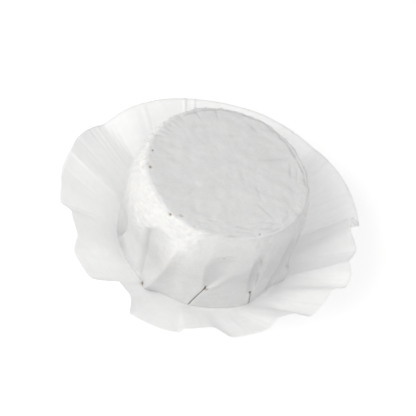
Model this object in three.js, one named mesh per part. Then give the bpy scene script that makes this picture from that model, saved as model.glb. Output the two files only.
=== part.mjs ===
// A small triple-cream cheese: a white drum with a downy rind, lying in the round paper it was wrapped in.
// Millimetres, +Z up. The origin is the middle of the paper's underside, on the surface that it lies on.
// Azimuths are in degrees, counter-clockwise from +X seen from above.
import * as THREE from "three";
import { mergeGeometries, mergeVertices } from "three/addons/utils/BufferGeometryUtils.js";

const PAPER_THICKNESS = 0.35;
const CLEARANCE = 0.3; // between the paper and the underside of the cheese
const FLOOR = PAPER_THICKNESS + CLEARANCE;

// The drum swells from its foot to a belly and draws in to the crown.
const CHEESE_HEIGHT = 45;
const FOOT_RADIUS = 37.4;
const BELLY_RADIUS = 39;
const BELLY_HEIGHT = 19;
const CROWN_RADIUS = 34.6;
const CROWN_POWER = 2.7;
const FOOT_ROUND = 2;
const CROWN_ROUND = 1.5;
const ROUND_STEPS = 3;
const SIDE_RINGS = 16;
const TOP_RINGS = [0.93, 0.62, 0.3]; // of the flat top's radius
// Slow waves make the top and the side uneven. Their pitches are in radians per millimetre.
const TOP_WAVE = { height: 0.25, across: 0.09, along: 0.11, start: 0.8 };
const SIDE_WAVE = { height: 0.3, lobes: 3, climb: 0.12, twist: 2, beat: 0.11, start: 0.6 };

// The wrapping's pleats pressed wedges into the side. A wedge is a steep step at its left, a floor that ramps
// up to a ridge at its right, and an open top; below its apex it closes to a crack that runs to the foot.
// left and right are the azimuths of its two sides at the apex and at the top.
const PLEATS = [
  { foot: 12, apex: 6, top: 33, left: [10, 7], right: [14, 22], bow: 0.7, depth: 1.4, ridge: 0.3 },
  { foot: 45, apex: 2, top: 30, left: [43, 38], right: [47, 57], bow: 0.5, depth: 1.5, ridge: 0.4 },
  { foot: 79, apex: 13, top: 36, left: [80, 78], right: [83, 96], bow: 0.9, depth: 1.7, ridge: 0.3 },
  { foot: 113, apex: 5, top: 31, left: [111, 107], right: [114, 120], bow: 0.8, depth: 1.3, ridge: 0.3 },
  { foot: 144, apex: 1, top: 32, left: [142, 136], right: [146, 158], bow: 0.5, depth: 1.6, ridge: 0.4 },
  { foot: 176, apex: 9, top: 34, left: [174, 172], right: [178, 188], bow: 0.8, depth: 1.4, ridge: 0.3 },
  { foot: 206.5, apex: 1, top: 29, left: [205, 202], right: [208.5, 225], bow: 0.55, depth: 1.6, ridge: 0.5 },
  { foot: 244, apex: 0.5, top: 32, left: [242, 236.5], right: [246, 255.5], bow: 0.45, depth: 1.6, ridge: 0.6 },
  { foot: 277, apex: 16, top: 35.5, left: [281.5, 279], right: [283.5, 300], bow: 0.9, depth: 2, ridge: 0.3 },
  { foot: 318, apex: 10, top: 36.5, left: [313, 308], right: [316.5, 319], bow: 1, depth: 1.8, ridge: 0.3 },
  { foot: 337, apex: 2, top: 35, left: [335.5, 343], right: [341, 351], bow: 0.8, depth: 1.5, ridge: 1.4 },
];
const LIP_ARC = 1.1; // degrees from the step's top edge to its foot
const LIP_PROUD = 0.25;
const CRACK_ARC = 1.6; // degrees across an open crack
const CRACK_DEPTH = 1.5;
const CAP_FADE = 2.6; // height over which a wedge's top runs out
const FLOOR_COLUMNS = 2;
const PANEL_COLUMNS = 8; // between one wedge's ridge and the next one's lip
const PANEL_FLAT = 1.1; // each panel's foot is flattened towards its chord
const PANEL_FADE = 26; // height at which the panels are round again

// The sheet is round. It lies flat under the cheese, and its margin stands up in a wavy skirt.
const DISC_RADIUS = 36.4;
const DISC_CORNERS = 6; // of the hexagon, half as wide, that divides the disc
const SKIRT_LENGTH = 34.6; // measured up the paper
const BEND_LENGTH = 3; // of the turn from the disc up into the skirt
const SKIRT_STATIONS = [0.03, 0.06, 0.1, 0.26, 0.46, 0.66, 0.84, 1]; // shares of the skirt's length
const COLUMN_ARC = 3.6; // widest spacing of the skirt's columns
const LONG_SIDE = { at: 37, reach: 16, extra: 1.5 }; // the skirt is longest round this azimuth

// Each fold of the skirt runs from the disc to the edge: its azimuth, and the angle at which it rises.
const FOLDS = [
  [6, 36], [10.5, 50], [13, 49], [23.5, 27], [34, 33], [50, 39.5], [60, 30.5], [71, 33.5], [84, 33], [97, 28],
  [110, 25.5], [126, 25.5], [142, 19.5], [147.5, 4], [164, 21.5], [175, 30], [186, 30.5], [195, 34], [204, 33.5],
  [209, 42], [221, 41.5], [224.5, 32], [237.5, 31], [246.5, 44], [253.5, 41.5], [256, 30], [268, 31], [275, 33.5],
  [286, 42.5], [293, 35.5], [307.5, 40], [311, 46.5], [319, 45.5], [325.5, 37], [333.5, 39.5], [340.5, 44],
  [348, 33], [352, 33], [355.5, 36], [356.5, 44],
];

const RIND_COLOUR = 0xeae8e4;
const PAPER_COLOUR = 0xf1f1f1;

const radians = THREE.MathUtils.degToRad;
const mix = THREE.MathUtils.lerp;
const clamp = THREE.MathUtils.clamp;

// Shares the vertices that coincide, and drops the triangles that close up at a pole.
function welded(geometry) {
  geometry.deleteAttribute("normal");
  geometry.deleteAttribute("uv");
  const merged = mergeVertices(geometry, 1e-4);
  const kept = [];
  const index = merged.index.array;
  for (let i = 0; i < index.length; i += 3) {
    const [a, b, c] = index.slice(i, i + 3);
    if (a !== b && b !== c && c !== a) kept.push(a, b, c);
  }
  merged.setIndex(kept);
  return merged;
}

// Turns a profile into a surface, placing the vertex at each ring and column by a function.
function turned(profile, columns, place) {
  const geometry = new THREE.LatheGeometry(profile, columns);
  const position = geometry.getAttribute("position");
  for (let column = 0; column <= columns; column++) {
    for (let ring = 0; ring < profile.length; ring++) {
      const point = place(profile[ring], column % columns);
      position.setXYZ(column * profile.length + ring, point.x, point.y, point.z);
    }
  }
  return welded(geometry);
}

// The drum's radius at a height, before its edges are rounded.
function drumRadius(height) {
  if (height < BELLY_HEIGHT) {
    return BELLY_RADIUS - (BELLY_RADIUS - FOOT_RADIUS) * ((BELLY_HEIGHT - height) / BELLY_HEIGHT) ** 2;
  }
  const rise = (height - BELLY_HEIGHT) / (CHEESE_HEIGHT - BELLY_HEIGHT);
  return BELLY_RADIUS - (BELLY_RADIUS - CROWN_RADIUS) * rise ** CROWN_POWER;
}

// Radius and height from the middle of the underside, up the side, to the middle of the top.
function drumProfile() {
  const points = [new THREE.Vector2(0, 0)];
  const foot = drumRadius(FOOT_ROUND) - FOOT_ROUND;
  for (let k = 0; k < ROUND_STEPS; k++) {
    const turn = (Math.PI / 2) * (k / ROUND_STEPS);
    points.push(new THREE.Vector2(foot + FOOT_ROUND * Math.sin(turn), FOOT_ROUND * (1 - Math.cos(turn))));
  }
  const highest = CHEESE_HEIGHT - CROWN_ROUND;
  for (let k = 0; k <= SIDE_RINGS; k++) {
    const height = mix(FOOT_ROUND, highest, k / SIDE_RINGS);
    points.push(new THREE.Vector2(drumRadius(height), height));
  }
  const crown = drumRadius(highest) - CROWN_ROUND;
  for (let k = 1; k <= ROUND_STEPS; k++) {
    const turn = (Math.PI / 2) * (k / ROUND_STEPS);
    const height = highest + CROWN_ROUND * Math.sin(turn);
    points.push(new THREE.Vector2(crown + CROWN_ROUND * Math.cos(turn), height));
  }
  for (const share of TOP_RINGS) {
    points.push(new THREE.Vector2(crown * share, CHEESE_HEIGHT));
  }
  points.push(new THREE.Vector2(0, CHEESE_HEIGHT));
  return points;
}

// The azimuths of a wedge's two sides at a height: above its top they go straight on, and below its apex
// they are the two sides of the crack.
function wedgeSides(pleat, height) {
  if (height < pleat.apex) {
    const share = height / pleat.apex;
    const middle = mix(pleat.foot, (pleat.left[0] + pleat.right[0]) / 2, share);
    return [middle - CRACK_ARC / 2, middle + CRACK_ARC / 2];
  }
  const rise = Math.min(1, (height - pleat.apex) / (pleat.top - pleat.apex));
  return [mix(pleat.left[0], pleat.left[1], rise), mix(pleat.right[0], pleat.right[1], rise ** pleat.bow)];
}

// How far a wedge is cut at a height, as a share: whole up to near its top, then running out.
function wedgeShare(pleat, height) {
  return clamp((pleat.top + CAP_FADE / 2 - height) / CAP_FADE, 0, 1);
}

const WEDGE_COLUMNS = FLOOR_COLUMNS + 3;
const PLEAT_COLUMNS = WEDGE_COLUMNS + PANEL_COLUMNS;

// The azimuth and the relief of a column of the side at a height. The columns run along the wedges' sides.
function sideColumn(column, height) {
  const number = Math.floor(column / PLEAT_COLUMNS);
  const step = column % PLEAT_COLUMNS;
  const pleat = PLEATS[number];
  const next = PLEATS[(number + 1) % PLEATS.length];
  const [left, right] = wedgeSides(pleat, height);
  const share = wedgeShare(pleat, height);
  const crack = height < pleat.apex;
  const depth = (crack ? CRACK_DEPTH : pleat.depth) * share;
  if (step === 0) return { azimuth: left, relief: LIP_PROUD * share };
  if (step < WEDGE_COLUMNS - 1) {
    const across = (step - 1) / (FLOOR_COLUMNS + 1);
    const start = Math.min(left + LIP_ARC, mix(left, right, 0.4));
    return { azimuth: mix(start, right, across), relief: -depth * (crack ? 1 : 1 - across) };
  }
  if (step === WEDGE_COLUMNS - 1) return { azimuth: right, relief: crack ? 0 : pleat.ridge * share };
  const turn = number + 1 === PLEATS.length ? 360 : 0;
  const end = wedgeSides(next, height)[0] + turn;
  const across = (step - WEDGE_COLUMNS + 1) / (PANEL_COLUMNS + 1);
  const bow = 4 * across * (1 - across);
  const flat = PANEL_FLAT * bow * clamp(1 - height / PANEL_FADE, 0, 1);
  const edges = mix(crack ? 0 : pleat.ridge * share, LIP_PROUD * wedgeShare(next, height), across);
  return { azimuth: mix(right, end, across), relief: edges * (1 - bow) - flat };
}

function sideWave(angle, height) {
  const { lobes, climb, twist, beat, start } = SIDE_WAVE;
  return SIDE_WAVE.height * Math.sin(lobes * angle + climb * height + start) * Math.sin(twist * angle + beat * height);
}

function topWave(x, y) {
  const { height, across, along, start } = TOP_WAVE;
  return height * Math.sin(across * x + start) * Math.cos(along * y);
}

// Where the point of the profile goes in a column: the relief dies out across the flat ends, and the top's
// waves die out down the side.
function cheeseSurface(point, column) {
  const { azimuth, relief } = sideColumn(column, point.y);
  const angle = radians(azimuth);
  const outward = clamp(point.x / FOOT_RADIUS, 0, 1) ** 4;
  const upward = clamp(point.y / BELLY_HEIGHT - 1, 0, 1) ** 2;
  const radius = point.x + (relief + sideWave(angle, point.y)) * outward;
  const x = radius * Math.cos(angle);
  const y = radius * Math.sin(angle);
  return new THREE.Vector3(x, y, FLOOR + point.y + topWave(x, y) * upward);
}

// The skirt's columns: every fold is one, and the stretches between folds are divided evenly.
function skirtColumns() {
  const columns = [];
  FOLDS.forEach(([azimuth, slope], k) => {
    const [nextAzimuth, nextSlope] = FOLDS[(k + 1) % FOLDS.length];
    const width = nextAzimuth + (k + 1 === FOLDS.length ? 360 : 0) - azimuth;
    const count = Math.max(1, Math.ceil(width / COLUMN_ARC));
    for (let n = 0; n < count; n++) {
      columns.push({ azimuth: azimuth + (width * n) / count, slope: mix(slope, nextSlope, n / count) });
    }
  });
  return columns;
}

// Radius and height of a point of the sheet, going so far up the skirt at its own slope.
function upSkirt(distance, slope) {
  const full = radians(slope);
  const bent = Math.min(distance, BEND_LENGTH);
  const straight = distance - bent;
  const bendRadius = BEND_LENGTH / full;
  const turn = bent / bendRadius;
  return {
    radius: DISC_RADIUS + bendRadius * Math.sin(turn) + straight * Math.cos(full),
    height: bendRadius * (1 - Math.cos(turn)) + straight * Math.sin(full),
  };
}

function onCircle(radius, azimuth) {
  return new THREE.Vector3(radius * Math.cos(radians(azimuth)), radius * Math.sin(radians(azimuth)), 0);
}

// The disc's face, looking down: fans between its rim and the hexagon inside it, and four triangles across the
// hexagon, one of them over the middle.
function discFace(columns) {
  const rim = columns.map(({ azimuth }) => onCircle(DISC_RADIUS, azimuth));
  const starts = [];
  for (let k = 0; k <= DISC_CORNERS; k++) starts.push(Math.round((columns.length * k) / DISC_CORNERS));
  const corners = starts.slice(0, -1).map((column) => onCircle(DISC_RADIUS / 2, columns[column].azimuth));
  const points = [];
  corners.forEach((corner, k) => {
    const next = corners[(k + 1) % DISC_CORNERS];
    const middle = Math.round((starts[k] + starts[k + 1]) / 2);
    for (let n = starts[k]; n < starts[k + 1]; n++) {
      points.push(rim[(n + 1) % rim.length], rim[n], n < middle ? corner : next);
    }
    points.push(next, rim[middle], corner);
  });
  const [a, b, c, d, e, f] = corners;
  points.push(e, c, a, c, b, a, e, d, c, a, f, e);
  return new THREE.BufferGeometry().setFromPoints(points);
}

// The sheet's under face, from the middle of the disc to the edge of the skirt.
function paperSheet() {
  const columns = skirtColumns();
  const profile = [new THREE.Vector2(DISC_RADIUS, 0)];
  for (const share of SKIRT_STATIONS) {
    profile.push(new THREE.Vector2(DISC_RADIUS + SKIRT_LENGTH * share, SKIRT_LENGTH * share));
  }
  const skirt = turned(profile, columns.length, (point, column) => {
    const { azimuth, slope } = columns[column];
    const a = radians(azimuth);
    const off = (azimuth - LONG_SIDE.at) / LONG_SIDE.reach;
    const stretch = 1 + (LONG_SIDE.extra * Math.exp(-off * off)) / SKIRT_LENGTH;
    const { radius, height } = upSkirt(point.y * stretch, slope);
    return new THREE.Vector3(radius * Math.cos(a), radius * Math.sin(a), height);
  });
  return welded(mergeGeometries([skirt.toNonIndexed(), discFace(columns)]));
}

// Gives an open sheet a thickness on the side away from its normals: both faces are the same triangles, and a
// wall joins their edges.
function thickened(sheet, thickness) {
  sheet.computeVertexNormals();
  const outer = sheet.getAttribute("position");
  const normal = sheet.getAttribute("normal");
  const count = outer.count;
  const position = new Float32Array(count * 6);
  position.set(outer.array);
  for (let i = 0; i < count * 3; i++) {
    position[count * 3 + i] = outer.array[i] - normal.array[i] * thickness;
  }
  const index = [];
  const edges = new Map();
  const faces = sheet.index.array;
  for (let i = 0; i < faces.length; i += 3) {
    const [a, b, c] = faces.slice(i, i + 3);
    index.push(a, b, c, count + c, count + b, count + a);
    for (const [from, to] of [[a, b], [b, c], [c, a]]) {
      if (!edges.delete(to + "," + from)) edges.set(from + "," + to, [from, to]);
    }
  }
  for (const [from, to] of edges.values()) {
    index.push(to, from, count + from, to, count + from, count + to);
  }
  const solid = new THREE.BufferGeometry();
  solid.setAttribute("position", new THREE.BufferAttribute(position, 3));
  solid.setIndex(index);
  return solid;
}

function piece(name, geometry, colour, roughness) {
  geometry.computeVertexNormals();
  const material = new THREE.MeshStandardMaterial({ color: colour, roughness, metalness: 0 });
  const mesh = new THREE.Mesh(geometry, material);
  mesh.name = name;
  return mesh;
}

const drum = turned(drumProfile(), PLEATS.length * PLEAT_COLUMNS, cheeseSurface);
const sheet = thickened(paperSheet(), PAPER_THICKNESS);
const wrapped = new THREE.Group();
wrapped.add(piece("cheese", drum, RIND_COLOUR, 0.85));
wrapped.add(piece("paper", sheet, PAPER_COLOUR, 0.5));

export default wrapped;
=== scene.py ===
"""A small triple-cream cheese with a downy white rind, lying in the round paper it was wrapped in.

Sizes in the tables are millimetres, and azimuths are degrees counter-clockwise from +X seen from above. The
meshes are shaped in millimetres and scaled to metres when they are finished.
"""

import math
from collections import namedtuple

import bmesh
import bpy
from bpy.props import FloatProperty, FloatVectorProperty, PointerProperty
from bpy.types import Operator, Panel, PropertyGroup
from mathutils import Matrix, Vector, noise


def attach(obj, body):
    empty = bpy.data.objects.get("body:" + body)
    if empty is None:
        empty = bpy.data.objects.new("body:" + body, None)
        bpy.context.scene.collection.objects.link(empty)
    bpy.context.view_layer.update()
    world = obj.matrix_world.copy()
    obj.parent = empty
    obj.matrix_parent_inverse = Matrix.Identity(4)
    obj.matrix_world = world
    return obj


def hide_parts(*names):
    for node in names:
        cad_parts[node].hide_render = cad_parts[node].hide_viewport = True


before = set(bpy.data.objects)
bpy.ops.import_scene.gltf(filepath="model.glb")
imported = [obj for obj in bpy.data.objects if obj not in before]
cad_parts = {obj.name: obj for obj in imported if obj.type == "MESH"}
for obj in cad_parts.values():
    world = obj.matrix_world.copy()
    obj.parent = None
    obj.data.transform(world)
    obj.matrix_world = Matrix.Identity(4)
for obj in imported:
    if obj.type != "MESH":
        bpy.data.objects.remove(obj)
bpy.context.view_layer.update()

bl_info = {
    "name": "Triple-cream cheese in paper",
    "version": (1, 0, 0),
    "blender": (4, 5, 0),
    "location": "3D View > Sidebar > Cheese",
    "description": "A white-rinded drum of cheese in its opened wrapping paper",
    "category": "Add Mesh",
}

MM = 0.001
WELD = 1e-4  # vertices closer than this become one
ENDS = 3  # reaches past which a bell is left out

# The drum, as turned.
UNDERSIDE = 0.65  # its height in the solids
PAPER_TOP = 0.22  # the drum's underside settles down to here, on the thin sheet
SETTLED = 4  # height over which it settles
CROWN_POWER = 2.7  # power of the height with which the side leans in above the belly
FOOT_ROUND = 1.4  # radii of the side's lower and upper edges
CROWN_ROUND = 0.8
RIM_WIDTH = 8  # of the top's edge, which is meshed more finely
RELIEF_FADE = 4  # power with which the side's relief dies away towards the middle
SKIN_FROM = 0.2  # height from which the rind's own unevenness begins

# Rings of its mesh: shares of the foot's radius at which they lie under it, how many round each edge, and how far
# apart up the side, over the top's edge and over the rest of the top.
UNDERSIDE_RINGS = (0, 0.4, 0.75)
ROUND_STEPS = 6
SIDE_PITCH = 0.34
RIM_PITCH = 0.42
TOP_PITCH = 0.8

# Slow waves of the top and of the side.
TOP_WAVE = {"height": 0.25, "across": 0.09, "along": 0.11, "start": 0.8}
SIDE_WAVE = {"height": 0.3, "lobes": 3, "climb": 0.12, "twist": 2, "beat": 0.11, "start": 0.6}

# Wedges that the wrapping's pleats pressed into the side. A wedge is deepest along its left side, where the panel
# before it comes down in a flank, and its floor climbs to a ridge at its right. A leaning one is deepest at its
# right. One with a hollow share is a bowl with a crisp edge, deepest at that share of its width. Below its apex a
# wedge closes to a crack that runs to the foot.
# foot, left and right are azimuths, of the crack's foot and of the wedge's two sides at its apex and its top. apex,
# top and cap are heights, the last the one over which the top runs out. bow and bend curve its right and left
# sides. depth is how far the floor is pressed in, climb the power with which it rises, and ridge how far the ridge
# stands out. flank and fall are how far the flank and the ridge's far side reach. groove is the depth of the fine
# line along the deep side. stain is how brown the crack is, and worn is the painted shade along the deep side, to 1.
Pleat = namedtuple(
    "Pleat",
    "foot apex top left right bow depth bend flank climb ridge fall cap stain leaning hollow groove worn",
    defaults=(0, 3, 0.8, 0.35, 3.5, 3, 0.3, False, 0, 0.2, 0.06),
)
PLEATS = (
    Pleat(12, 6, 33, (10, 7), (14, 22), 0.7, 0.9),
    Pleat(45, 2, 30, (43, 38), (47, 57), 0.5, 0.8, cap=5),
    Pleat(79, 13, 36, (80, 78), (83, 96), 0.9, 1.1, cap=1.4, stain=0.7),
    Pleat(113, 5, 31, (111, 107), (114, 120), 0.8, 0.8),
    Pleat(144, 1, 32, (142, 136), (146, 158), 0.5, 0.9, cap=5, climb=0.6),
    Pleat(176, 9, 34, (174, 172), (178, 188), 0.8, 0.9),
    Pleat(
        205, 1, 20, (203, 199), (207, 220), 0.65, 1.8,
        flank=2, climb=1.2, fall=4, cap=6, stain=0.2, leaning=True, groove=0.4, worn=0.18,
    ),
    Pleat(
        243, 0.5, 34, (240.7, 235), (246, 259), 0.5, 2.1,
        flank=5, climb=0.8, ridge=1.8, fall=8, cap=6, stain=0.1, groove=0.4, worn=0.18,
    ),
    Pleat(
        277, 16, 35.5, (281.5, 279), (283.5, 305), 0.6, 0.8,
        bend=-1.6, flank=1, ridge=0.05, cap=7, stain=1, hollow=0.58, groove=0, worn=0.14,
    ),
    Pleat(
        317.3, 10, 36.5, (312.3, 306.5), (316.5, 319), 1, 1,
        bend=-1.5, flank=1, ridge=0.2, cap=6, stain=0.9, hollow=0.5, groove=0.1, worn=0.16,
    ),
    Pleat(
        333, 2, 38, (331, 335), (338, 344), 0.8, 1,
        bend=-4, flank=1, ridge=0.3, fall=2.5, cap=6, stain=0.1, hollow=0.5, groove=0.4, worn=0.2,
    ),
    Pleat(
        356, 6, 36, (353, 346), (355, 350), 0.8, 0.8,
        bend=-7, flank=1, ridge=0.2, fall=2.5, cap=6, stain=0.1, hollow=0.5, groove=0.4, worn=0.2,
    ),
)
WEDGE_COLUMNS = 17  # of the mesh over each wedge, then over the panel from it to the next
PANEL_COLUMNS = 23
FULL_WIDTH = 6  # a wedge narrower than this is shallower
CRACK_ARC = 0.85  # degrees across a crack
CRACK_DEPTH = 1.3
CRACK_POWER = 1.5  # the higher, the flatter its bottom
APEX_BLEND = 0.9  # height over which a crack opens into its wedge
CAP_DROP = 4.5  # how much lower a wedge's top is at its two sides
CAP_POWER = 2.5  # the higher, the nearer the sides it drops
BEND_SHARE = 0.6  # of the left side's bend that the right side has too
RIDGE_POWER = 5  # the higher, the nearer its right side a wedge's floor climbs to the ridge
PANEL_FLAT = 0.6  # how far the panels are flattened at the foot, and the height at which that ends
PANEL_FADE = 26
GROOVE_REACH = 1.4  # of the fine line along a wedge's deep side
GROOVE_START = 2.7  # height above the apex over which it begins
PAINTED_SHADE_REACH = 0.7  # share of the flank over which painted shade is laid

# How a wedge's sides stray in degrees, and its top in height: how far, how often, and how much wedges differ.
SIDE_STRAY = {"by": 0.5, "beat": 0.16, "apart": 7.3, "seed": 0.4}
CAP_STRAY = {"by": 0.7, "beat": 2.2, "apart": 5.1, "seed": 8}

# Broad hollows pressed into the side, and swells where the depth is negative: azimuth, height, depth, and reach
# along the side and up it.
HOLLOWS = (
    (354.5, 22.5, 1.2, 7, 6), (352, 14, 0.8, 6, 5), (6, 37, 0.9, 9, 5), (350, 2, -2.4, 5, 4.5),
    (335, 3, 1, 5, 7), (263, 36, -0.6, 4, 8), (262, 18, 0.45, 3.5, 13), (248.5, 1.5, -2.1, 4.6, 4.5),
)
HOLLOW_ENDS = 2.5  # reaches along the side past which one is left out

# Flat faces pressed on the side: azimuths from and to, the heights between which it starts, and its depth.
FACETS = (
    (279.3, 306, 26, 33, 1),
    (262.5, 279.3, 30, 38, 0.3),
)

# How far the crown rolls in towards the top, by azimuth, and the height from which it does.
ROLLS = (
    (0, 0.1), (5, 0), (20, 1), (39, 1.8), (60, 0.7), (75, -0.2), (89, 0.2), (104, 0.7), (113, 0.3), (123, 0.9),
    (136, 1.4), (150, 2), (165, 2.4), (178, 1.8), (212, 1.6), (225, 1.3), (234, 0.5), (244, -0.8), (249, -0.5),
    (253, 0.6), (258, 0), (263, -0.5), (275, 0), (320, 0), (360, 0.1),
)
ROLL_FROM = 41

# Random unevenness of the rind, in layers, each with the height of its lumps, their size and a seed: all over the
# side, where the mould grew rough, on the top, and along its rim.
SIDE_LUMPS = ((0.03, 1.5, 0),)
MOULD_LUMPS = ((0.65, 2.6, 1.7), (0.6, 1.2, 5.3))
TOP_LUMPS = ((0.23, 5.5, 2.9), (0.18, 3, 8.1), (0.04, 1.5, 4.4))
RIM_LUMPS = ((0.34, 3.4, 6.1), (0.2, 1.4, 7.7))

# The mould grew rough above the part that the paper held smooth: from between these heights, which stray.
MOULD_FROM = (31, 36)
MOULD_EDGE = ((3, 4, 3.1),)

# Where the side was pressed at the right it is thinner by a share, and above these heights it has painted shade.
MOULD_GAP = {"share": 0.75, "from": (264, 274), "to": (345, 358), "worn": 0.13, "above": (20, 35)}

# It reaches further down between these azimuths, and between the second ones its white is painted light, not rough.
MOULD_LOW = {"drop": 8, "from": (192, 204), "to": (230, 244)}
PAINTED_LIGHT_SPREAD = {"drop": 14, "from": (236, 242), "to": (266, 274)}

# The top begins between these depths below its height. Its rim lies between these radii and these depths, and is
# calmer by a share between these azimuths.
TOP_FROM = (1.2, 0.4)
RIM = {"radius": (30.5, 33), "below": (3.5, 1), "calm": 0.6, "from": (255, 285), "to": (340, 360)}

# Wrinkles that fan out over the top's front edge: from between these radii, how high they are, how often they
# come outwards and round the edge, how they slant, and how sharp they are.
WRINKLES = {
    "from": (250, 268), "to": (335, 352), "radius": (24, 29), "height": 0.23, "sharp": 0.7,
    "outward": 0.75, "slant": 0.05, "round": 0.055, "seed": 3.3,
}

# A fine groove inside the top's back edge: its radius, how that strays, its half width, its depth, how much
# painted shade darkens it, and the share of it that stays where it comes and goes.
RIM_GROOVE = {
    "from": (6, 18), "to": (132, 148), "radius": 33.9, "strays": ((0.4, 5, 9.3),), "reach": 0.5,
    "depth": 0.4, "dark": 0.7, "stays": 0.7, "swells": ((0.6, 3, 2.2),),
}

# Brown specks in the rind: azimuth, radius, height, and size across.
SPECKS = (
    (204.4, 32.6, 44.8, 0.5), (200.9, 33.2, 44.4, 0.4), (188, 31.8, 44.9, 0.3), (244.3, 35.2, 43.5, 0.55),
    (251, 33.2, 44.9, 0.4), (249, 34.5, 44.6, 0.3), (262.6, 34.5, 44.4, 0.4), (309.1, 33.2, 44.9, 0.25),
    (246.4, 40.3, 1.1, 0.8), (283.2, 38.6, 14.6, 0.75), (287.7, 37.6, 34.4, 0.35), (92, 34.4, 44.4, 0.5),
    (31, 34.6, 44.2, 0.4), (128, 38, 30, 0.4),
)
SPECK_DARK = 1.7  # above 1 a speck is brown right out towards its edge
SPECK_DEPTH = 0.35

# Creases of the side: azimuth and height of the two ends, depth and half width.
SIDE_CREASES = (
    (222, 35, 233.5, 31.2, 0.22, 0.35), (221, 32.2, 231.5, 29.2, 0.18, 0.35), (210, 31, 214, 27, 0.15, 0.4),
    (282.5, 33.4, 287.5, 35.2, 0.3, 0.35), (287.5, 35.4, 295, 35.3, 0.3, 0.35), (286, 13, 292, 17.5, 0.2, 0.35),
    (288, 11, 295, 12.5, 0.15, 0.4), (316.3, 13, 313.9, 24, 0.5, 0.3), (314.5, 28, 312.5, 33, 0.35, 0.4),
    (321, 9, 326, 11, 0.25, 0.4), (250, 41, 257, 38, 0.12, 0.5), (263, 39.5, 266, 34, 0.15, 0.5),
    (271, 41, 272.5, 35, 0.14, 0.5),
)

# Creases of the top: x and y of the two ends, depth and half width.
TOP_LINES = 2  # scales their depths
LINE_PAINTED_SHADE = 0.5  # painted shade in a crease, for each millimetre of its depth
TOP_PAINTED_SHADE = 0.15  # and painted shade all over the top
TOP_CREASES = (
    (8.6, -32.9, 13.8, -30.4, 0.22, 0.45), (16, -11.2, 24.8, -16, 0.1, 0.6), (9, -26.5, 17.5, -25, 0.12, 0.5),
    (11, -29, 19, -26.5, 0.14, 0.45), (20, -23.6, 25, -20.6, 0.14, 0.45), (19.5, -19.5, 27.5, -17, 0.12, 0.5),
    (24, -23.5, 29, -18, 0.13, 0.45), (11.2, 12, 21.6, 18.4, 0.12, 1.2), (23.5, 16.5, 25.5, 9, 0.12, 0.5),
    (26.8, 15.5, 28.5, 8, 0.1, 0.45), (-31.5, 13, -27, 12, 0.16, 0.5), (-31.8, 10.4, -27.5, 9.4, 0.14, 0.5),
    (-32.6, 7.8, -28, 7.4, 0.14, 0.5), (-30.6, 15.8, -25, 13.6, 0.14, 0.5), (-33, 5, -29.6, 5.2, 0.14, 0.5),
    (-28, 19.5, -24, 17, 0.12, 0.5), (-22, 25.5, -18.5, 22, 0.14, 0.6), (-14, 30, -11.5, 26, 0.12, 0.6),
    (2, 29, 6, 27, 0.14, 0.9), (0, 21.5, -6, 18.5, 0.1, 0.8), (-20, 17, -13, 20, 0.1, 0.9),
    (4, 4, 8.5, -4.5, 0.08, 0.7), (13, -2, 17, -9, 0.09, 0.6), (-9.5, -14, -12.5, -22, 0.07, 0.8),
)
CREASE_TAPER = (0.12, 0.88)  # a crease's depth along it follows this part of half a sine wave

# The sheet. Each fold of its skirt: azimuth, and the angle at which the paper rises there.
FOLDS = (
    (6, 36), (10.5, 49), (13, 48.5), (19, 46), (20.2, 28.5), (23.5, 27), (34, 33), (50, 39.5), (60, 30.5),
    (71, 33.5), (84, 33), (97, 28), (110, 25.5), (126, 25.5), (139, 20.5), (147.5, 5), (164, 21.5), (175, 30),
    (186, 30.5), (195, 34), (204, 33.5), (209, 42), (221, 41.5), (224.5, 32), (237.5, 31), (246.5, 44),
    (253.5, 41.5), (256, 30), (268, 31), (274.3, 32.8), (275.7, 36.8), (286, 42.5), (293, 35.5), (307.5, 40),
    (311, 46.5), (319, 45.5), (325.5, 37), (333.5, 39.5), (340.5, 44), (348, 33), (352, 33), (355.5, 36),
    (356.5, 44),
)
# Folds that don't run straight out: azimuth, how far the inner end is from it, and over how many degrees the
# paper beside a fold goes with it.
SLANTS = ((204, -11, 12), (275, -3, 8), (356, -4, 8), (20, 5, 8), (246.5, -2, 8))
SHARP_FOLDS = (19, 20.2, 204, 246.5, 256, 274.3, 275.7, 356)
SOFT_ROUND = 2.5  # degrees either side of a fold over which it is rounded
SHARP_ROUND = 0.5
SHARP_TO_SOFT = (0.5, 4)  # degrees from a sharp fold between which the one gives way to the other
ROUND_SAMPLES = 9  # slopes that a rounded one is the mean of
ROUND_TAPER = 1.1  # reaches at which a sample would count for nothing
SLOPES_A_DEGREE = 2
SHEET_COLUMNS = 720  # of the mesh
DISC_RINGS = (0, 0.5, 0.8, 0.95, 1)  # shares of the disc's radius
SKIRT_RINGS = 42
LONG_SIDE = {"at": 37, "reach": 16, "extra": 1.5}  # where the skirt is longer

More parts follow.
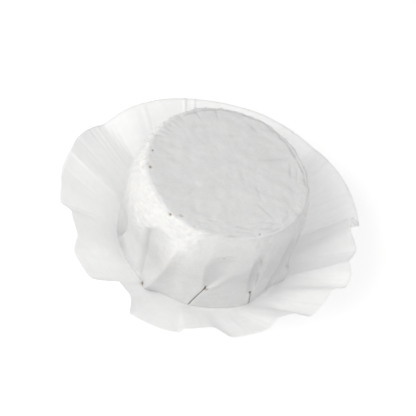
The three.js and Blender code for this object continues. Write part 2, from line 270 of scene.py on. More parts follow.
# Fine creases that fan out over the skirt: azimuths of the inner and outer ends, how much steeper the paper is on
# the line and its half width in degrees, and the shares of the skirt's length where it starts and, unless that is
# the paper's edge, ends.
SKIRT_CREASES = (
    (6, 4, 0.4, 1.5, 0.2), (14, 15, -0.4, 1.5, 0.3), (27.5, 22, 0.9, 0.8, 0), (27.6, 28.5, 0.9, 0.7, 0),
    (31, 32.5, -0.4, 1.2, 0.3), (39, 34, 1, 0.9, 0), (43, 41, -0.4, 1.5, 0.2), (52, 51, -0.6, 1.6, 0),
    (58, 58.5, 0.3, 1.2, 0.2), (70.5, 70, -0.7, 0.6, 0.4), (72.5, 73, 0.6, 0.7, 0.3), (75, 75, -0.6, 0.6, 0.4),
    (91, 92, 0.4, 1.2, 0.3), (103, 102, -0.4, 1.4, 0.3), (113, 112.7, 1.9, 0.5, 0.2), (117, 116.6, 1.6, 0.5, 0.2),
    (134, 133.5, 0.8, 1.4, 0), (139, 138.5, -0.3, 1.2, 0.2), (149, 144.5, -0.7, 0.9, 0), (152, 147, 0.5, 0.8, 0.1),
    (157.5, 152.5, 0.7, 0.9, 0), (161, 157, -0.4, 1.2, 0.2), (168, 167, -0.3, 1.4, 0.2), (175, 176.5, 0.5, 1.4, 0),
    (186, 185, -0.3, 1.5, 0.3), (193, 204.6, 2, 0.9, 0.1), (210, 210.5, 0.4, 1.2, 0.2), (216, 219, -0.3, 1.6, 0.2),
    (229, 226, 0.3, 1.8, 0.2), (246.5, 240.5, -0.7, 0.8, 0.1, 0.9), (247, 245, 0.7, 0.8, 0.1, 0.9),
    (247.5, 250.5, -0.6, 0.8, 0.1, 0.9), (248.5, 254.5, 0.5, 0.8, 0.2), (264, 262, 0.3, 1.8, 0.2),
    (271.5, 271.8, -0.5, 0.8, 0.1), (274, 274.8, -0.4, 0.7, 0.1), (283, 281, 0.3, 1.4, 0.3),
    (300, 299, 0.3, 1.6, 0.3), (311, 309, -0.6, 1, 0.2), (315, 315.5, 0.4, 1.2, 0.2), (331, 332, 0.3, 1.4, 0.2),
    (339, 341, -0.3, 1.2, 0.3), (350, 351.5, 0.4, 1, 0.1), (353.5, 356, 0.5, 0.8, 0.1),
)
CREASE_STARTS = (-0.1, 0.3)  # shares of the length, from a crease's start, between which it grows
CREASE_ENDS = (-0.05, 0.15)  # and those, from its end, between which it runs out

# The paper's random unevenness, in layers as the rind's: degrees by which its creases stray, how far a stretch
# between folds bellies out half-way up, both with sizes in degrees, and how crumpled it is above the bend.
SWAYS = ((1.2, 14, 1.9),)
BULGES = ((0.7, 9, 4.6),)
CRUMPLES = ((0.12, 6, 8.8), (0.048, 2.2222, 2.2))
CRUMPLED_FROM = (0, 0.3)

# Noise in the materials: size of its lumps, detail, roughness, the values between which one colour turns into
# another, and the depth and strength of its relief.
Pattern = namedtuple("Pattern", "size detail roughness turn relief", defaults=(0.5, None, None))
BLOTCHES = Pattern(5.5, 4, turn=(0.35, 0.62))
FRECKLES = Pattern(1.3, 3, turn=(0.3, 0.55))
TUFTS = Pattern(2.4, 5, 0.6, turn=(0.3, 0.6), relief=(0.22, 0.6))
GRAIN = Pattern(1.1, 4, relief=(0.08, 0.35))
FUZZ = Pattern(0.35, 4, relief=(0.04, 0.3))
CLOUDS = Pattern(3, 5, turn=(0.35, 0.65), relief=(0.05, 0.2))
FIBRES = Pattern(0.5, 3, relief=(0.015, 0.2))
BLACK = (0, 0, 0)
WHITE = (1, 1, 1)
FRECKLE = (0.965, 0.965, 0.96)  # what a freckle multiplies the rind's colour by
CLOUD = 0.975  # and a cloud the paper's

RIND_FINISH = {
    "Roughness": 0.88,
    "Specular IOR Level": 0.2,
    "Subsurface Weight": 0.4,
    "Subsurface Radius": (1, 0.95, 0.85),
    "Subsurface Scale": 0.8 * MM,
}
PAPER_FINISH = {
    "Roughness": 0.5,
    "Specular IOR Level": 0.3,
    "Subsurface Weight": 0.9,
    "Subsurface Radius": (1, 1, 1),
    "Subsurface Scale": 0.8 * MM,
}
STAGE_FINISH = {"Roughness": 0.8, "Specular IOR Level": 0, "Emission Color": (1, 1, 1, 1)}

# The stage, in metres.
STAGE_HALF = 3  # half the floor's width
STAGE_DROP = 0.00005  # how far it lies below the paper
LIT_HEIGHT = 0.02  # of the point that the lights are turned to, from a metre away
SKY_TURN = (0, 0.8)  # how far up the sky goes from haze to its full light
CLIP = (0.01, 20)  # nearest and furthest that the camera sees
SENSOR = 36  # millimetres across

# Square panels of light: name, width, colour, azimuth and elevation.
LIGHTS = (
    ("side", 0.6, (1, 0.985, 0.955), 222, 37),
    ("front", 1, WHITE, 268, 60),
    ("right", 1, WHITE, 312, 45),
)


def mix(low, high, share):
    return low + (high - low) * share


def clamp(value):
    return min(1.0, max(0.0, value))


def smooth(low, high, value):
    """An S-curve from 0 at low to 1 at high."""
    share = clamp((value - low) / (high - low))
    return share * share * (3 - 2 * share)


def hump(share):
    """A bow from 0 at a share of 0 up to 1 half-way, and back to 0 at 1."""
    return 4 * share * (1 - share)


def bump(distance, reach):
    """A bell: 1 on the line, and next to nothing two reaches away."""
    return math.exp(-((distance / reach) ** 2))


def cusp(distance, reach):
    """A sharp peak: 1 on the line, with sides that run out at its reach."""
    return max(0.0, 1 - distance / reach) ** 2


def apart(azimuth, other):
    """Degrees from the other azimuth round to this one, the shorter way."""
    return (azimuth - other + 180) % 360 - 180


def within(azimuth, stretch):
    """1 between a stretch's two azimuths, with soft ends."""
    return smooth(*stretch["from"], azimuth) * (1 - smooth(*stretch["to"], azimuth))


def at(azimuth, radius, height):
    """The point at an azimuth, a radius and a height."""
    angle = math.radians(azimuth)
    return Vector((radius * math.cos(angle), radius * math.sin(angle), height))


def lumps(place, layers):
    """Smooth noise at a place: layers of lumps added up, each with its height, size and seed."""
    return sum(
        height * noise.noise(Vector((place[0] / size + seed, place[1] / size - seed, place[2] / size + 2 * seed)))
        for height, size, seed in layers
    )


def stray(line, along, number):
    """How far a wedge's line strays at a distance along it."""
    return line["by"] * noise.noise(Vector((along * line["beat"], number * line["apart"], line["seed"])))


def creased(x, y, creases):
    """How deep a point lies in a list of creases, each its two ends, depth and half width."""
    sunk = 0.0
    for from_x, from_y, to_x, to_y, depth, reach in creases:
        along_x, along_y = to_x - from_x, to_y - from_y
        share = clamp(((x - from_x) * along_x + (y - from_y) * along_y) / (along_x**2 + along_y**2))
        away = math.hypot(x - from_x - share * along_x, y - from_y - share * along_y)
        if away < ENDS * reach:
            sunk += depth * bump(away, reach) * math.sin(math.pi * mix(*CREASE_TAPER, share))
    return sunk


def wrapped_round(columns, rings, place):
    """A grid wrapped right round, with its seam and poles welded.

    place says where the vertex of a column and ring goes, how stained it is and how much painted shade it has.
    """
    bm = bmesh.new()
    bmesh.ops.create_grid(bm, x_segments=columns, y_segments=rings - 1, size=0.5)
    stains = bm.verts.layers.float.new("stain")
    # Painted shade: how much dark grey each vertex is given where shade falls.
    painted_shade_layer = bm.verts.layers.float.new("worn")
    for vert in bm.verts:
        column = round((vert.co.x + 0.5) * columns) % columns
        vert.co, vert[stains], vert[painted_shade_layer] = place(column, round((vert.co.y + 0.5) * (rings - 1)))
    bmesh.ops.remove_doubles(bm, verts=bm.verts, dist=WELD)
    bmesh.ops.recalc_face_normals(bm, faces=bm.faces)
    bm.normal_update()
    return bm


def linked(bm, name, material):
    """Makes a mesh an object at the origin."""
    mesh = bpy.data.meshes.new(name)
    bm.to_mesh(mesh)
    bm.free()
    mesh.materials.append(material)
    made = bpy.data.objects.new(name, mesh)
    bpy.context.scene.collection.objects.link(made)
    return made


def finished_piece(bm, name, material):
    """Scales a piece to metres, checks that it is closed, smooths it and links it."""
    bmesh.ops.scale(bm, vec=(MM, MM, MM), verts=bm.verts)
    if any(not edge.is_manifold for edge in bm.edges):
        raise RuntimeError(f"{name} isn't closed")
    for face in bm.faces:
        face.smooth = True
    return linked(bm, name, material)


def fresh_material(name, finish):
    """A new material, its node tree, and its main shader with a finish on its own sockets."""
    material = bpy.data.materials.new(name)
    material.use_nodes = True
    shader = material.node_tree.nodes["Principled BSDF"]
    for socket, value in finish.items():
        shader.inputs[socket].default_value = value
    return material, material.node_tree, shader


def noise_node(tree, coordinates, pattern):
    """The noise of a pattern, whose size is in millimetres."""
    node = tree.nodes.new("ShaderNodeTexNoise")
    node.inputs["Scale"].default_value = 1 / (pattern.size * MM)
    node.inputs["Detail"].default_value = pattern.detail
    node.inputs["Roughness"].default_value = pattern.roughness
    tree.links.new(coordinates, node.inputs["Vector"])
    return node.outputs["Fac"]


def attribute(tree, name):
    """The value that a mesh's vertices carry under a name."""
    node = tree.nodes.new("ShaderNodeAttribute")
    node.attribute_name = name
    return node.outputs["Fac"]


def between(tree, share, turn, colours):
    """A colour that goes from one to the other as a value goes from low to high."""
    node = tree.nodes.new("ShaderNodeValToRGB")
    for element, position, colour in zip(node.color_ramp.elements, turn, colours):
        element.position = position
        element.color = (*colour, 1)
    tree.links.new(share, node.inputs["Fac"])
    return node.outputs["Color"]


def blended(tree, share, first, second, way="MIX"):
    """The first colour with the second laid over it, by a value."""
    node = tree.nodes.new("ShaderNodeMix")
    node.data_type = "RGBA"
    node.blend_type = way
    sockets = [node.inputs["Factor"]] + [socket for socket in node.inputs if socket.type == "RGBA"]
    for value, socket in zip((share, first, second), sockets):
        if isinstance(value, bpy.types.NodeSocket):
            tree.links.new(value, socket)
        else:
            socket.default_value = value
    return next(socket for socket in node.outputs if socket.type == "RGBA")


def bumped(tree, heights):
    """Bump nodes one after another, each for a value and the pattern whose relief it has."""
    normal = None
    for value, pattern in heights:
        node = tree.nodes.new("ShaderNodeBump")
        depth, strength = pattern.relief
        node.inputs["Distance"].default_value = depth * MM
        node.inputs["Strength"].default_value = strength
        tree.links.new(value, node.inputs["Height"])
        if normal is not None:
            tree.links.new(normal, node.inputs["Normal"])
        normal = node.outputs["Normal"]
    return normal


class DrumSettings(PropertyGroup):
    """The cheese's sizes and colours."""

    height: FloatProperty(name="Height", description="From the underside to the top", default=0.045, unit="LENGTH")
    foot_radius: FloatProperty(name="Foot radius", description="At the underside", default=0.0387, unit="LENGTH")
    belly_radius: FloatProperty(name="Belly radius", description="At its widest", default=0.039, unit="LENGTH")
    belly_height: FloatProperty(name="Belly height", description="Where it is widest", default=0.019, unit="LENGTH")
    crown_radius: FloatProperty(name="Crown radius", description="At the top's edge", default=0.0346, unit="LENGTH")
    rind: FloatVectorProperty(
        name="Rind", description="The white down", default=(0.838, 0.84, 0.842), subtype="COLOR", min=0, max=1
    )
    rind_thin: FloatVectorProperty(
        name="Thin rind", description="Where the down is thinner", default=(0.803, 0.805, 0.807), subtype="COLOR",
        min=0, max=1,
    )
    # Painted shade: the dark grey mixed in where shade falls, in recesses, creases and grooves, on the top and right.
    pressed: FloatVectorProperty(
        name="Pressed rind", description="Where the paper pressed the down away", default=(0.36, 0.36, 0.36),
        subtype="COLOR", min=0, max=1,
    )
    # The thick down's white, also used as painted light where it spreads down the lit left side.
    mould: FloatVectorProperty(
        name="Mould", description="Where the down is thick", default=(0.872, 0.868, 0.857), subtype="COLOR",
        min=0, max=1,
    )
    crack: FloatVectorProperty(
        name="Crack", description="The paste that shows in a crack", default=(0.26, 0.215, 0.15), subtype="COLOR",
        min=0, max=1,
    )


class SheetSettings(PropertyGroup):
    """The wrapping paper's sizes and colour."""

    disc_radius: FloatProperty(name="Disc radius", description="The flat part", default=0.0388, unit="LENGTH")
    bend_radius: FloatProperty(name="Bend radius", description="From where it rises", default=0.0415, unit="LENGTH")
    start_radius: FloatProperty(
        name="Start radius", description="Where its length starts", default=0.0369, unit="LENGTH"
    )
    skirt_length: FloatProperty(name="Skirt length", description="Up the paper", default=0.0341, unit="LENGTH")
    thickness: FloatProperty(name="Thickness", description="Of the sheet", default=0.00018, unit="LENGTH")
    paper: FloatVectorProperty(
        name="Paper", description="White and slightly see-through", default=(0.898, 0.898, 0.898), subtype="COLOR",
        min=0, max=1,
    )


class StageSettings(PropertyGroup):
    """The camera, the light and the floor."""

    elevation: FloatProperty(name="Elevation", description="Of the camera", default=math.radians(49.5), subtype="ANGLE")
    roll: FloatProperty(name="Roll", description="Of the camera", default=math.radians(21), subtype="ANGLE")
    distance: FloatProperty(name="Distance", description="From the camera's target", default=0.544, unit="LENGTH")
    aim_across: FloatProperty(name="Aim across", description="Of the picture's middle", default=0.0025, unit="LENGTH")
    aim_up: FloatProperty(name="Aim up", description="Of the picture's middle", default=0.0122, unit="LENGTH")
    lens: FloatProperty(name="Lens", description="In millimetres, on a 36 mm sensor", default=107.44)
    glow: FloatProperty(name="Glow", description="Light that the pale floor gives off", default=0.33)
    haze: FloatProperty(name="Haze", description="Even light from low down all round", default=0.2)
    sky: FloatProperty(name="Sky", description="Even light from overhead", default=0.65)
    side_power: FloatProperty(name="Side light", description="Of the light at the left", default=3.85, unit="POWER")
    front_power: FloatProperty(name="Front light", description="Of the light in front", default=1.35, unit="POWER")
    right_power: FloatProperty(name="Right light", description="Of the light at the right", default=1, unit="POWER")
    floor: FloatVectorProperty(
        name="Floor", description="Plain and pale", default=(0.85, 0.85, 0.85), subtype="COLOR", min=0, max=1
    )


class Drum:
    """The drum's form in millimetres: where each vertex goes, how stained it is and how much painted shade it has."""

    def __init__(self, settings):
        self.height = settings.height / MM
        self.foot = settings.foot_radius / MM
        self.belly = settings.belly_radius / MM
        self.belly_height = settings.belly_height / MM
        self.crown = settings.crown_radius / MM
        self.degree = math.radians(1) * self.belly
        self.columns = len(PLEATS) * (WEDGE_COLUMNS + PANEL_COLUMNS)
        self.profile = self.turned_profile()
        self.side_creases = [
            (from_azimuth * self.degree, from_height, to_azimuth * self.degree, to_height, depth, reach)
            for from_azimuth, from_height, to_azimuth, to_height, depth, reach in SIDE_CREASES
        ]
        self.specks = [(at(azimuth, far, UNDERSIDE + high), size) for azimuth, far, high, size in SPECKS]

    def radius(self, height):
        """Before the edges are rounded."""
        if height < self.belly_height:
            return self.belly - (self.belly - self.foot) * ((self.belly_height - height) / self.belly_height) ** 2
        rise = (height - self.belly_height) / (self.height - self.belly_height)
        return self.belly - (self.belly - self.crown) * rise**CROWN_POWER

    def turned_profile(self):
        """Radius and height from the middle of the underside, up the side, to the middle of the top."""
        foot = self.radius(FOOT_ROUND) - FOOT_ROUND
        points = [(foot * share, 0) for share in UNDERSIDE_RINGS]
        for k in range(ROUND_STEPS):
            turn = math.pi / 2 * k / ROUND_STEPS
            points.append((foot + FOOT_ROUND * math.sin(turn), FOOT_ROUND * (1 - math.cos(turn))))
        highest = self.height - CROWN_ROUND
        rings = round((highest - FOOT_ROUND) / SIDE_PITCH)
        for k in range(rings + 1):
            height = mix(FOOT_ROUND, highest, k / rings)
            points.append((self.radius(height), height))
        crown = self.radius(highest) - CROWN_ROUND
        for k in range(1, ROUND_STEPS + 1):
            turn = math.pi / 2 * k / ROUND_STEPS
            points.append((crown + CROWN_ROUND * math.cos(turn), highest + CROWN_ROUND * math.sin(turn)))
        fine = round(RIM_WIDTH / RIM_PITCH)
        points += [(crown - RIM_WIDTH * k / fine, self.height) for k in range(1, fine + 1)]
        inner = crown - RIM_WIDTH
        coarse = round(inner / TOP_PITCH)
        points += [(inner * (1 - k / coarse), self.height) for k in range(1, coarse + 1)]
        return points

    def sides(self, number, height):
        """Azimuths of a wedge's two sides, and how far it has opened: 0 in the crack below it, 1 above."""
        pleat = PLEATS[number]
        strayed = stray(SIDE_STRAY, height, number)
        middle = mix(pleat.foot, (pleat.left[0] + pleat.right[0]) / 2, min(1, height / pleat.apex))
        rise = clamp((height - pleat.apex) / (pleat.top - pleat.apex))
        left = mix(pleat.left[0], pleat.left[1], rise) + pleat.bend * hump(rise)
        right = mix(pleat.right[0], pleat.right[1], rise**pleat.bow) + BEND_SHARE * pleat.bend * hump(rise)
        opened = smooth(pleat.apex - APEX_BLEND, pleat.apex + APEX_BLEND, height)
        return (
            mix(middle - CRACK_ARC / 2, left, opened) + strayed,
            mix(middle + CRACK_ARC / 2, right, opened) + strayed,
            opened,
        )

    def share(self, number, height, across):
        """How far a wedge is cut at a height and a share of its width."""
        pleat = PLEATS[number]
        top = pleat.top + stray(CAP_STRAY, across, number) - CAP_DROP * abs(2 * across - 1) ** CAP_POWER
        if pleat.hollow:
            return 1 - (1 - clamp((top - height) / pleat.cap)) ** 2
        return 1 - smooth(top - pleat.cap / 2, top + pleat.cap / 2, height)

    def column(self, column, height):
        """The azimuth and relief of a column of the side at a height, its stain and its painted shade."""
        number, step = divmod(column, WEDGE_COLUMNS + PANEL_COLUMNS)
        pleat = PLEATS[number]
        left, right, opened = self.sides(number, height)
        ridge = pleat.ridge * self.share(number, height, 0.5)
        if step < WEDGE_COLUMNS:
            across = step / WEDGE_COLUMNS
            crack = 1 - abs(2 * across - 1) ** CRACK_POWER
            width = (right - left) * self.degree
            cut = self.floor(number, height, across) + ridge * across**RIDGE_POWER
            cut -= self.groove(number, height, 0, width * across) + self.groove(number, height, 1, width * (1 - across))
            relief = mix(-CRACK_DEPTH * crack, cut, opened)
            # Painted shade along the wedge's deep side.
            worn = opened * self.worn(number, height, across, 0)
            return mix(left, right, across), relief, (1 - opened) * pleat.stain * crack, worn
        following = (number + 1) % len(PLEATS)
        end, _, next_opened = self.sides(following, height)
        end += 360 if following == 0 else 0
        across = (step - WEDGE_COLUMNS) / PANEL_COLUMNS
        before = (end - right) * self.degree * across
        after = (end - right) * self.degree * (1 - across)
        near = (self.floor(number, height, 1) * cusp(before, pleat.flank) + ridge * cusp(before, pleat.fall)) * opened
        near -= self.groove(number, height, 1, before)
        far = self.floor(following, height, 0) * next_opened * cusp(after, PLEATS[following].flank)
        far -= self.groove(following, height, 0, after)
        flat = PANEL_FLAT * hump(across) * clamp(1 - height / PANEL_FADE)
        # Painted shade along the deep sides of the wedges either side of the panel.
        worn = opened * self.worn(number, height, 1, before) + next_opened * self.worn(following, height, 0, after)
        return mix(right, end, across), near + far - flat, 0.0, worn

    def worn(self, number, height, across, away):
        """The painted shade at a share of a wedge's width, or away from its side: dark grey laid along its deep side.
        """
        pleat = PLEATS[number]
        deep = across if pleat.leaning else 1 - across
        return pleat.worn * math.sqrt(deep) * self.share(number, height, across) * cusp(away, PAINTED_SHADE_REACH * pleat.flank)

    def groove(self, number, height, side, away):
        """How deep the fine line along a wedge's deep side is at a height and a distance from it."""
        pleat = PLEATS[number]
        if side != pleat.leaning:
            return 0.0
        lowest = smooth(pleat.apex, pleat.apex + GROOVE_START, height)
        return pleat.groove * lowest * self.share(number, height, side) * cusp(away, GROOVE_REACH)

    def floor(self, number, height, across):
        """How far out a wedge's floor lies at a height and a share of its width."""
        pleat = PLEATS[number]
        left, right, _ = self.sides(number, height)
        width = (right - left) * self.degree
        across = 1 - across if pleat.leaning else across
        if across < pleat.hollow:
            shallow = 1 - (1 - across / pleat.hollow) ** 2
        elif pleat.hollow:
            shallow = 1 - smooth(pleat.hollow, 1, across)
        else:
            shallow = (1 - across) ** pleat.climb
        return -pleat.depth * shallow * min(1, width / FULL_WIDTH) * self.share(number, height, across)

    def roll(self, azimuth):
        """How far the crown rolls in at an azimuth."""
        azimuth %= 360
        for (start, low), (end, high) in zip(ROLLS, ROLLS[1:]):
            if azimuth <= end:
                return mix(low, high, smooth(start, end, azimuth))

    def hollow(self, azimuth, height):
        """How far broad hollows and flat faces press the side in."""
        sunk = 0.0
        for middle, high, depth, along, up in HOLLOWS:
            off = apart(azimuth, middle) * self.degree
            if abs(off) < HOLLOW_ENDS * along:
                sunk += depth * bump(off, along) * bump(height - high, up)
        for start, end, low, high, depth in FACETS:
            across = clamp((azimuth % 360 - start) / (end - start))
            sunk += depth * hump(across) * smooth(low, high, height)
        return sunk

    def place(self, column, ring):
        """Where the vertex of a column and ring goes, its stain and its painted shade."""
        radius, height = self.profile[ring]
        azimuth, relief, stain, worn = self.column(column, height)
        angle = math.radians(azimuth)
        wave = math.sin(SIDE_WAVE["lobes"] * angle + SIDE_WAVE["climb"] * height + SIDE_WAVE["start"])
        wave *= SIDE_WAVE["height"] * math.sin(SIDE_WAVE["twist"] * angle + SIDE_WAVE["beat"] * height)
        outward = clamp(radius / self.foot) ** RELIEF_FADE
        upward = clamp(height / self.belly_height - 1) ** 2
        radius += (relief + wave - self.hollow(azimuth, height)) * outward
        radius -= self.roll(azimuth) * clamp((height - ROLL_FROM) / (self.height - ROLL_FROM)) ** 2 * outward
        place = at(azimuth, radius, UNDERSIDE + height)
        swell = TOP_WAVE["height"] * math.sin(TOP_WAVE["across"] * place.x + TOP_WAVE["start"])
        place.z += swell * math.cos(TOP_WAVE["along"] * place.y) * upward
        place.z -= (UNDERSIDE - PAPER_TOP) * (1 - clamp(height / SETTLED)) ** 2
        return place, stain * outward, worn * outward

    def wrinkle(self, azimuth, radius):
        """How far the wrinkles at the top's front edge stand out."""
        outward = radius * WRINKLES["outward"] + azimuth * WRINKLES["slant"]
        value = noise.noise(Vector((outward, azimuth * WRINKLES["round"], WRINKLES["seed"])))
        front = smooth(*WRINKLES["radius"], radius) * within(azimuth, WRINKLES)
        return front * WRINKLES["height"] * (1 - 2 * abs(value) ** WRINKLES["sharp"])

    def rim_groove(self, azimuth, radius, place):
        """How much of the groove inside the top's back edge there is at a place."""
        off = radius + self.roll(azimuth) - RIM_GROOVE["radius"] + lumps(place, RIM_GROOVE["strays"])
        swell = RIM_GROOVE["stays"] + lumps(place, RIM_GROOVE["swells"])
        return within(azimuth, RIM_GROOVE) * bump(off, RIM_GROOVE["reach"]) * swell

    def skin(self, place):
        """How far the rind stands out at a place, its stain, its mould with painted light, and its painted shade."""
        radius = math.hypot(place.x, place.y)
        height = place.z - UNDERSIDE
        azimuth = math.degrees(math.atan2(place.y, place.x)) % 360
        top, rim = (smooth(self.height - low, self.height - high, height) for low, high in (TOP_FROM, RIM["below"]))
        rim *= smooth(*RIM["radius"], radius) * (1 - RIM["calm"] * within(azimuth, RIM))
        ragged = height + lumps(place, MOULD_EDGE) + MOULD_LOW["drop"] * within(azimuth, MOULD_LOW)
        # Painted light: the down's white spreads down the lit left side, where it is not rough.
        painted_light = PAINTED_LIGHT_SPREAD["drop"] * within(azimuth, PAINTED_LIGHT_SPREAD)
        gap = within(azimuth, MOULD_GAP)
        kept = (1 - MOULD_GAP["share"] * gap) * (1 - top)
        mould = smooth(*MOULD_FROM, ragged + painted_light) * kept
        # Painted shade high on the right side, and all over the top.
        worn = mix(MOULD_GAP["worn"] * gap * smooth(*MOULD_GAP["above"], height), TOP_PAINTED_SHADE, top)
        out = (1 - top) * lumps(place, SIDE_LUMPS) + top * lumps(place, TOP_LUMPS) + rim * lumps(place, RIM_LUMPS)
        out += smooth(*MOULD_FROM, ragged) * kept * lumps(place, MOULD_LUMPS)
        lines = groove = 0.0
        if top < 1:
            lines += creased(azimuth * self.degree, height, self.side_creases) * (1 - top)
        if top > 0:
            lines += TOP_LINES * creased(place.x, place.y, TOP_CREASES) * top
            groove = self.rim_groove(azimuth, radius, place)
            out += top * self.wrinkle(azimuth, radius)
        out -= lines + RIM_GROOVE["depth"] * groove
        stain = 0.0
        for speck, size in self.specks:
            away = (place - speck).length
            if away < ENDS * size:
                out -= SPECK_DEPTH * bump(away, size)
                stain = max(stain, clamp(SPECK_DARK * bump(away, size)))
        # Painted shade: creases and the rim's groove are darkened more than the rest.
        return out, stain, mould, worn + LINE_PAINTED_SHADE * (lines + RIM_GROOVE["dark"] * groove)


def rind_material(settings):
    """Matt white down, a little thinner in blotches, over paste that shows brown in cracks and specks."""
    material, tree, shader = fresh_material("rind_down", RIND_FINISH)
    where = tree.nodes.new("ShaderNodeTexCoord").outputs["Object"]
    colours = settings.rind_thin, settings.rind
    down = between(tree, noise_node(tree, where, BLOTCHES), BLOTCHES.turn, colours)
    freckles = between(tree, noise_node(tree, where, FRECKLES), FRECKLES.turn, (FRECKLE, WHITE))
    colour = blended(tree, 1, down, freckles, "MULTIPLY")
    tufts = tree.nodes.new("ShaderNodeMath")
    tufts.operation = "MULTIPLY"
    clumps = between(tree, noise_node(tree, where, TUFTS), TUFTS.turn, (BLACK, WHITE))
    tree.links.new(clumps, tufts.inputs[0])
    tree.links.new(attribute(tree, "mould"), tufts.inputs[1])
    # The thick down's white, which is painted light where it spreads down the lit left side.
    colour = blended(tree, tufts.outputs["Value"], colour, (*settings.mould, 1))
    # Painted shade: dark grey mixed in where shade falls, in recesses, creases and grooves, on the top and right side.
    colour = blended(tree, attribute(tree, "worn"), colour, (*settings.pressed, 1))
    colour = blended(tree, attribute(tree, "stain"), colour, (*settings.crack, 1))
    tree.links.new(colour, shader.inputs["Base Color"])
    grain = noise_node(tree, where, GRAIN), GRAIN
    fuzz = noise_node(tree, where, FUZZ), FUZZ
    tree.links.new(bumped(tree, (grain, (tufts.outputs["Value"], TUFTS), fuzz)), shader.inputs["Normal"])
    return material


def paper_material(settings):
    """Thin white greaseproof paper, smooth, a little clouded, and lit through from behind."""
    material, tree, shader = fresh_material("white_paper", PAPER_FINISH)
    where = tree.nodes.new("ShaderNodeTexCoord").outputs["Object"]
    clouds = noise_node(tree, where, CLOUDS)
    dim = tuple(CLOUD * value for value in settings.paper)
    tree.links.new(between(tree, clouds, CLOUDS.turn, (dim, settings.paper)), shader.inputs["Base Color"])
    fibres = noise_node(tree, where, FIBRES), FIBRES
    tree.links.new(bumped(tree, ((clouds, CLOUDS), fibres)), shader.inputs["Normal"])
    return material


class CHEESE_OT_add_drum(Operator):
    """Model the cheese: a turned drum with pressed wedges, cracks, mould and specks in its rind"""

    bl_idname = "cheese.add_drum"
    bl_label = "Add drum"

    def execute(self, context):
        settings = context.scene.cheese_drum
        drum = Drum(settings)
        bm = wrapped_round(drum.columns, len(drum.profile), drum.place)
        mould_and_painted_light_layer = bm.verts.layers.float.new("mould")
        stains, painted_shade_layer = (bm.verts.layers.float[name] for name in ("stain", "worn"))
        moves = [drum.skin(vert.co) for vert in bm.verts]
        for vert, (out, stain, mould, worn) in zip(bm.verts, moves):
            vert[mould_and_painted_light_layer] = mould
            # The skin's painted shade adds to the wedges'.
            vert[painted_shade_layer] += worn
            if vert.co.z > UNDERSIDE + SKIN_FROM:
                vert.co += vert.normal * out
                vert[stains] = max(vert[stains], stain)
        piece = finished_piece(bm, "downy_drum", rind_material(settings))
        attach(piece, "root")
        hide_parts("cheese")
        return {"FINISHED"}


class Sheet:
    """The opened paper's form in millimetres."""

    def __init__(self, settings):
        self.disc = settings.disc_radius / MM
        self.bend = settings.bend_radius / MM
        self.start = settings.start_radius / MM
        self.skirt = settings.skirt_length / MM
        self.profile = [(self.disc * share, 0) for share in DISC_RINGS]
        self.profile += [(self.disc, (k + 1) / SKIRT_RINGS) for k in range(SKIRT_RINGS)]
        self.slopes = [self.slope(k / SLOPES_A_DEGREE) for k in range(360 * SLOPES_A_DEGREE)]

    def fold_slope(self, azimuth):
        """The angle at which the paper rises, straight from fold to fold."""
        azimuth %= 360
        for (start, low), (end, high) in zip(FOLDS, FOLDS[1:]):
            if start <= azimuth <= end:
                return mix(low, high, (azimuth - start) / (end - start))
        (start, low), (end, high) = FOLDS[-1], FOLDS[0]
        return mix(low, high, ((azimuth - start) % 360) / (end + 360 - start))

    def slope(self, azimuth):
        """The same with its folds rounded, wide at a soft fold and tight at a sharp one."""
        nearest = min(abs(apart(azimuth, sharp)) for sharp in SHARP_FOLDS)
        reach = mix(SHARP_ROUND, SOFT_ROUND, smooth(*SHARP_TO_SOFT, nearest))
        offsets = [reach * (2 * k / (ROUND_SAMPLES - 1) - 1) for k in range(ROUND_SAMPLES)]
        weights = [1 - abs(offset) / (reach * ROUND_TAPER) for offset in offsets]
        total = sum(weight * self.fold_slope(azimuth + offset) for offset, weight in zip(offsets, weights))
        return total / sum(weights)

    def slanted(self, azimuth, share):
        """The rise at an azimuth and a share of the skirt's length, with the folds' slants."""
        for fold, inner, reach in SLANTS:
            shift = inner * (1 - share)
            azimuth -= shift * bump(apart(azimuth, fold + shift), reach)
        before, past = divmod(SLOPES_A_DEGREE * azimuth, 1)
        low, high = (self.slopes[int(before + k) % len(self.slopes)] for k in (0, 1))
        return mix(low, high, past)

    def crease(self, azimuth, share):
        """How much steeper the fine creases make the paper at an azimuth and a share of the skirt's length."""
        steeper = 0.0
        for inner, outer, rise, reach, start, *end in SKIRT_CREASES:
            away = abs(apart(azimuth, mix(inner, outer, share)))
            if away < reach:
                along = smooth(start + CREASE_STARTS[0], start + CREASE_STARTS[1], share)
                if end:
                    along *= 1 - smooth(end[0] + CREASE_ENDS[0], end[0] + CREASE_ENDS[1], share)
                steeper += rise * (1 - away / reach) * along
        return steeper

    def place(self, column, ring):
        """Where the vertex of a column and ring of the under face goes. Paper has no stain and no painted shade."""
        radius, share = self.profile[ring]
        azimuth = 360 * column / SHEET_COLUMNS
        if share == 0:
            return at(azimuth, radius, 0), 0, 0
        middle = math.sin(math.pi * share)
        around = at(azimuth, math.degrees(1), 0)
        strayed = azimuth + lumps(around, SWAYS) * share * middle
        slope = math.radians(self.slanted(azimuth, share) + self.crease(strayed, share))
        length = self.skirt + LONG_SIDE["extra"] * bump(azimuth - LONG_SIDE["at"], LONG_SIDE["reach"])
        edge = self.start + length * math.cos(slope)
        out = mix(mix(self.disc, self.bend, share), mix(self.bend, edge, share), share)
        up = share * share * length * math.sin(slope)
        belly = lumps(around, BULGES) * middle + lumps(at(azimuth, out, up), CRUMPLES) * smooth(*CRUMPLED_FROM, share)
        return at(azimuth, out - belly * math.sin(slope), max(0, up + belly * math.cos(slope))), 0, 0


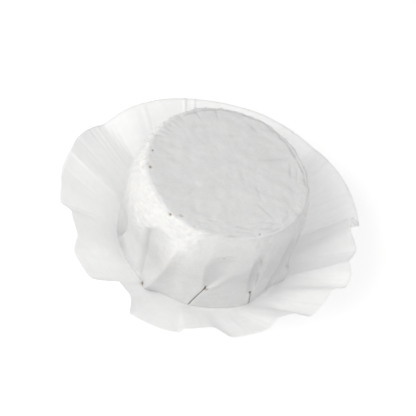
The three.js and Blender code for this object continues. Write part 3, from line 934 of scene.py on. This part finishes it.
class CHEESE_OT_add_sheet(Operator):
    """Model the wrapping paper: a round sheet, flat under the cheese, with a creased and wavy skirt"""

    bl_idname = "cheese.add_sheet"
    bl_label = "Add paper"

    def execute(self, context):
        settings = context.scene.cheese_sheet
        sheet = Sheet(settings)
        bm = wrapped_round(SHEET_COLUMNS, len(sheet.profile), sheet.place)
        if bm.faces[0].normal.z > 0:
            bmesh.ops.reverse_faces(bm, faces=bm.faces)
        bmesh.ops.solidify(bm, geom=bm.faces, thickness=settings.thickness / MM)
        piece = finished_piece(bm, "wrapping_sheet", paper_material(settings))
        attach(piece, "root")
        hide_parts("paper")
        return {"FINISHED"}


class CHEESE_OT_add_stage(Operator):
    """Set up the floor, the light and the camera"""

    bl_idname = "cheese.add_stage"
    bl_label = "Add stage"

    def execute(self, context):
        settings = context.scene.cheese_stage
        self.add_floor(settings)
        self.add_lights(context, settings)
        self.add_camera(context, settings)
        context.scene.view_settings.view_transform = "Standard"
        return {"FINISHED"}

    def add_floor(self, settings):
        material, _, shader = fresh_material("pale_floor", STAGE_FINISH)
        shader.inputs["Base Color"].default_value = (*settings.floor, 1)
        shader.inputs["Emission Strength"].default_value = settings.glow
        bm = bmesh.new()
        bmesh.ops.create_grid(bm, x_segments=1, y_segments=1, size=STAGE_HALF)
        bmesh.ops.translate(bm, vec=(0, 0, -STAGE_DROP), verts=bm.verts)
        linked(bm, "floor", material)

    def add_lights(self, context, settings):
        world = bpy.data.worlds.new("even_sky")
        world.use_nodes = True
        tree = world.node_tree
        upward = tree.nodes.new("ShaderNodeSeparateXYZ")
        tree.links.new(tree.nodes.new("ShaderNodeTexCoord").outputs["Generated"], upward.inputs["Vector"])
        shades = (settings.haze,) * 3, (settings.sky,) * 3
        tree.links.new(between(tree, upward.outputs["Z"], SKY_TURN, shades), tree.nodes["Background"].inputs["Color"])
        context.scene.world = world
        for name, width, colour, azimuth, elevation in LIGHTS:
            light = bpy.data.lights.new(f"{name}_light", "AREA")
            light.size = width
            light.color = colour
            light.energy = getattr(settings, f"{name}_power")
            lamp = bpy.data.objects.new(light.name, light)
            elevation = math.radians(elevation)
            towards = at(azimuth, math.cos(elevation), math.sin(elevation))
            lamp.location = Vector((0, 0, LIT_HEIGHT)) + towards
            lamp.rotation_euler = towards.to_track_quat("Z", "Y").to_euler()
            context.scene.collection.objects.link(lamp)

    def add_camera(self, context, settings):
        camera = bpy.data.cameras.new("camera")
        camera.sensor_width = SENSOR
        camera.lens = settings.lens
        camera.clip_start, camera.clip_end = CLIP
        back = Vector((0, -math.cos(settings.elevation), math.sin(settings.elevation)))
        level = Vector((1, 0, 0))
        upright = back.cross(level)
        across = math.cos(settings.roll) * level + math.sin(settings.roll) * upright
        up = math.cos(settings.roll) * upright - math.sin(settings.roll) * level
        aim = settings.aim_across * across + settings.aim_up * up
        holder = bpy.data.objects.new("camera", camera)
        axes = Matrix((across, up, back)).transposed().to_4x4()
        holder.matrix_world = Matrix.Translation(aim + back * settings.distance) @ axes
        context.scene.collection.objects.link(holder)
        context.scene.camera = holder


class CHEESE_PT_panel(Panel):
    """Lists the pieces and the stage"""

    bl_label = "Cheese in paper"
    bl_idname = "CHEESE_PT_panel"
    bl_space_type = "VIEW_3D"
    bl_region_type = "UI"
    bl_category = "Cheese"

    def draw(self, context):
        for operator, group in (
            (CHEESE_OT_add_drum, context.scene.cheese_drum),
            (CHEESE_OT_add_sheet, context.scene.cheese_sheet),
            (CHEESE_OT_add_stage, context.scene.cheese_stage),
        ):
            box = self.layout.box()
            for name in group.__annotations__:
                box.prop(group, name)
            box.operator(operator.bl_idname)


CLASSES = (
    DrumSettings,
    SheetSettings,
    StageSettings,
    CHEESE_OT_add_drum,
    CHEESE_OT_add_sheet,
    CHEESE_OT_add_stage,
    CHEESE_PT_panel,
)


def register():
    for each in CLASSES:
        bpy.utils.register_class(each)
    bpy.types.Scene.cheese_drum = PointerProperty(type=DrumSettings)
    bpy.types.Scene.cheese_sheet = PointerProperty(type=SheetSettings)
    bpy.types.Scene.cheese_stage = PointerProperty(type=StageSettings)


def unregister():
    del bpy.types.Scene.cheese_stage
    del bpy.types.Scene.cheese_sheet
    del bpy.types.Scene.cheese_drum
    for each in reversed(CLASSES):
        bpy.utils.unregister_class(each)


def main():
    register()
    bpy.ops.cheese.add_drum()
    bpy.ops.cheese.add_sheet()
    bpy.ops.cheese.add_stage()


if __name__ == "__main__":
    main()
